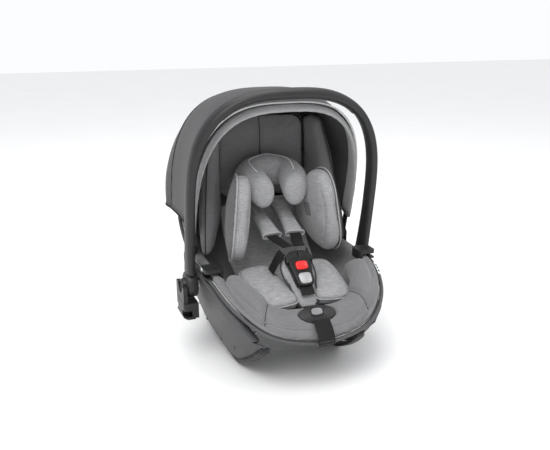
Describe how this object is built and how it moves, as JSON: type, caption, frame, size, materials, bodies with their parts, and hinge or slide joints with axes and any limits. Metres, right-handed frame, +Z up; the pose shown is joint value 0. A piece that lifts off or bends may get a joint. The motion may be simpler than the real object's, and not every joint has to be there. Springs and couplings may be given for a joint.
{
  "type": "infant car seat",
  "caption": "Rocking infant carrier with swinging carry handle, folding canopy, sliding headrest, padded insert and three-point harness.",
  "frame": {"origin": "on the floor, under the middle of the carrier's bounding box", "axes": "+Z up, -Y towards the foot end where the harness adjuster is, symmetric about X = 0"},
  "size_m": [0.466, 0.59, 0.6008],
  "materials": {
    "shell_plastic": "fine-textured moulded polypropylene, dark grey",
    "black_plastic": "moulded plastic, near black, slight sheen",
    "foam": "expanded polystyrene bead foam, off-white",
    "steel": "zinc-plated steel",
    "label": "blank pale label strip",
    "cover_fabric": "mid-grey woven polyester over padding",
    "insert_fabric": "light grey melange knit over padding",
    "webbing": "black polyester webbing with ribbed edges",
    "buckle_grey": "satin silver-grey plastic",
    "release_red": "glossy red push button",
    "grip_trim": "soft-touch grey grip insert",
    "canopy_fabric": "dark grey woven polyester, light grey front hem with piping"
  },
  "bodies": {
    "root": {"seat_shell": "shell_plastic", "foam_liner": "foam", "side_panel_left": "shell_plastic", "side_panel_right": "shell_plastic", "rocker_rail_left": "black_plastic", "rocker_rail_right": "black_plastic", "belt_guide_left": "black_plastic", "belt_guide_right": "black_plastic", "stroller_clip_left": "shell_plastic", "stroller_clip_right": "shell_plastic", "handle_pivot_left": "steel", "handle_pivot_right": "steel", "canopy_mount_left": "black_plastic", "canopy_mount_right": "black_plastic", "base_bar_front": "steel", "base_bar_rear": "steel", "shell_screws": "steel", "rim_label": "label", "headrest_guide_rods": "steel", "lower_cover": "cover_fabric", "side_wing_left": "cover_fabric", "side_wing_right": "cover_fabric", "back_pad": "insert_fabric", "thigh_cushion_left": "insert_fabric", "thigh_cushion_right": "insert_fabric", "insert_wing_left": "insert_fabric", "insert_wing_right": "insert_fabric", "adjuster_plate": "black_plastic", "harness_lock": "steel", "pull_strap": "webbing", "buckle_pad": "insert_fabric", "crotch_strap": "webbing", "buckle_housing": "black_plastic", "buckle_plate": "buckle_grey", "shoulder_strap_left": "webbing", "shoulder_strap_right": "webbing", "shoulder_pad_left": "insert_fabric", "shoulder_pad_right": "insert_fabric", "hip_strap_left": "webbing", "hip_strap_right": "webbing", "harness_yoke": "steel", "canopy_front_panel": "canopy_fabric", "canopy_rear_panel": "canopy_fabric"},
    "handle": {"handle_frame": "black_plastic", "handle_grip": "grip_trim", "button_spring_left": "steel", "button_spring_right": "steel"},
    "handle_button_left": {"handle_button_left": "black_plastic"},
    "handle_button_right": {"handle_button_right": "black_plastic"},
    "front_bow": {"canopy_front_bow": "black_plastic"},
    "rear_bow": {"canopy_rear_bow": "black_plastic"},
    "headrest": {"headrest_shell": "black_plastic", "headrest_pad": "cover_fabric", "head_cushion": "insert_fabric"},
    "tongue_left": {"tongue_left": "black_plastic"},
    "tongue_right": {"tongue_right": "black_plastic"},
    "buckle_button": {"buckle_button": "release_red"},
    "adjuster_button": {"adjuster_button": "buckle_grey"}
  },
  "joints": [
    {"name": "handle_swing", "type": "hinge", "parent": "root", "child": "handle", "pos_m": [0, -0.025, 0.178], "axis": [-1, 0, 0], "range_deg": [0, 112]},
    {"name": "handle_button_left_press", "type": "slide", "parent": "handle", "child": "handle_button_left", "axis": [1, 0, 0], "range_m": [0, 0.0045], "stiffness_N_per_m": 1200, "springref_m": -0.004, "deforming": ["button_spring_left"]},
    {"name": "handle_button_right_press", "type": "slide", "parent": "handle", "child": "handle_button_right", "axis": [-1, 0, 0], "range_m": [0, 0.0045], "stiffness_N_per_m": 1200, "springref_m": -0.004, "deforming": ["button_spring_right"]},
    {"name": "canopy_fold", "type": "hinge", "parent": "root", "child": "front_bow", "pos_m": [0, 0.032, 0.236], "axis": [-1, 0, 0], "range_deg": [0, 75], "deforming": ["canopy_front_panel", "canopy_rear_panel"]},
    {"name": "rear_bow_turn", "type": "hinge", "parent": "root", "child": "rear_bow", "pos_m": [0, 0.032, 0.236], "axis": [-1, 0, 0], "range_deg": [0, 15]},
    {"name": "headrest_lift", "type": "slide", "parent": "root", "child": "headrest", "axis": [0, 0, 1], "range_m": [0, 0.04]},
    {"name": "tongue_left_pull", "type": "slide", "parent": "root", "child": "tongue_left", "axis": [0, 0.729, 0.6845], "range_m": [0, 0.022], "deforming": ["shoulder_strap_left", "shoulder_pad_left", "hip_strap_left"]},
    {"name": "tongue_right_pull", "type": "slide", "parent": "root", "child": "tongue_right", "axis": [0, 0.729, 0.6845], "range_m": [0, 0.022], "deforming": ["shoulder_strap_right", "shoulder_pad_right", "hip_strap_right"]},
    {"name": "buckle_button_press", "type": "slide", "parent": "root", "child": "buckle_button", "axis": [0, 0.6845, -0.729], "range_m": [0, 0.004], "stiffness_N_per_m": 1500, "springref_m": -0.004},
    {"name": "adjuster_button_press", "type": "slide", "parent": "root", "child": "adjuster_button", "axis": [0, 0.5962, -0.8028], "range_m": [0, 0.004], "stiffness_N_per_m": 1200, "springref_m": -0.004}
  ],
  "couplings": [
    {"joint": "rear_bow_turn", "follows": "canopy_fold", "ratio": 0.2}
  ]
}
